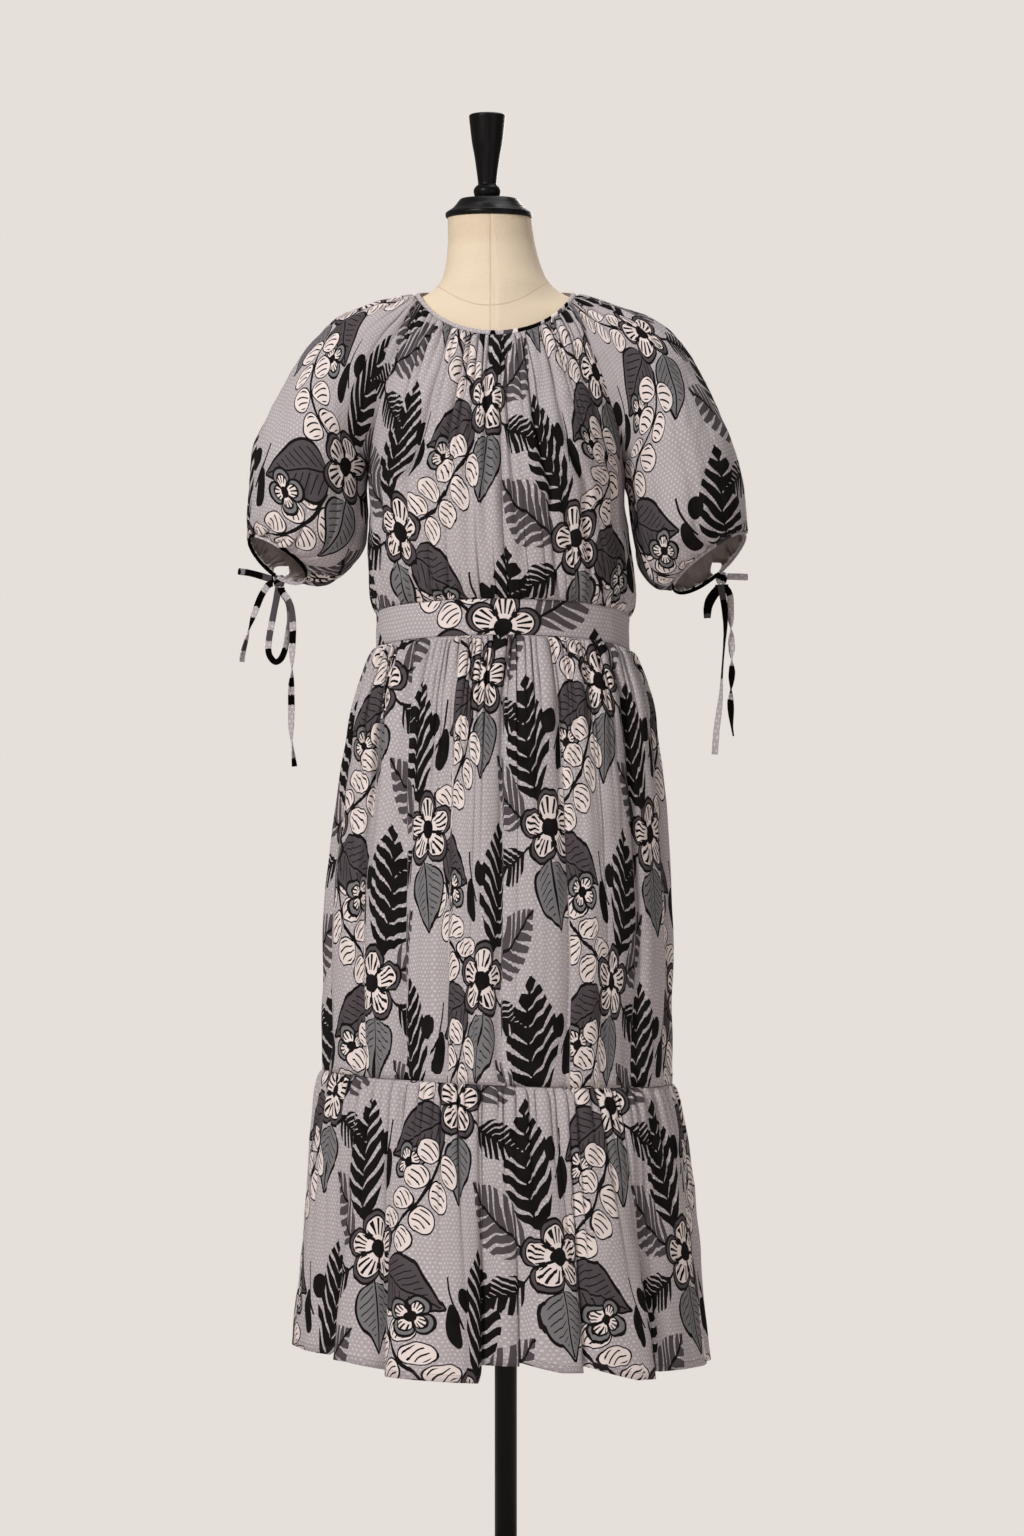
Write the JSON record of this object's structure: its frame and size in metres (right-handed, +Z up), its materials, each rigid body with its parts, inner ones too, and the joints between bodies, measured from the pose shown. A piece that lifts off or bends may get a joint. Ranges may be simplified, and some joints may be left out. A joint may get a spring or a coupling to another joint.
{
  "type": "muumuu-style midi dress on a limbless dress form with a round-based stand",
  "caption": "Midi dress with gathered raglan puff sleeves, tied cuffs, a plain waistband, a gathered skirt and a flounce, worn by a limbless dress form on a pole stand.",
  "frame": {"origin": "on the stand's axis, at the underside of the base, which is the floor", "axes": "+Z up along the pole, the dress's front faces -Y, +X to the viewer's right"},
  "size_m": [0.5559, 0.4001, 1.6176],
  "materials": {
    "printed_cotton": "light plain-weave cotton, matte, printed all over in black, greys and cream",
    "binding": "strips folded from the same printed cotton, matte",
    "linen_cover": "natural linen stretched over a hard shell, matte",
    "black_wood": "turned, painted satin black",
    "black_metal": "painted satin black"
  },
  "bodies": {
    "root": {"neck_binding": "binding", "bodice_front": "printed_cotton", "bodice_back": "printed_cotton", "sleeve_left": "printed_cotton", "sleeve_right": "printed_cotton", "cuff_binding_left": "binding", "cuff_binding_right": "binding", "tie_knot_left": "binding", "tie_knot_right": "binding", "tie_loop_side_left": "binding", "tie_loop_side_right": "binding", "tie_loop_hang_left": "binding", "tie_loop_hang_right": "binding", "tie_tail_a_left": "binding", "tie_tail_a_right": "binding", "tie_tail_b_left": "binding", "tie_tail_b_right": "binding", "waistband_front": "printed_cotton", "waistband_back": "printed_cotton", "skirt_front": "printed_cotton", "skirt_back": "printed_cotton", "flounce_front": "printed_cotton", "flounce_back": "printed_cotton", "form_torso": "linen_cover", "form_cap": "black_wood", "form_finial": "black_wood", "stand_pole": "black_metal", "stand_base": "black_metal"}
  },
  "joints": []
}
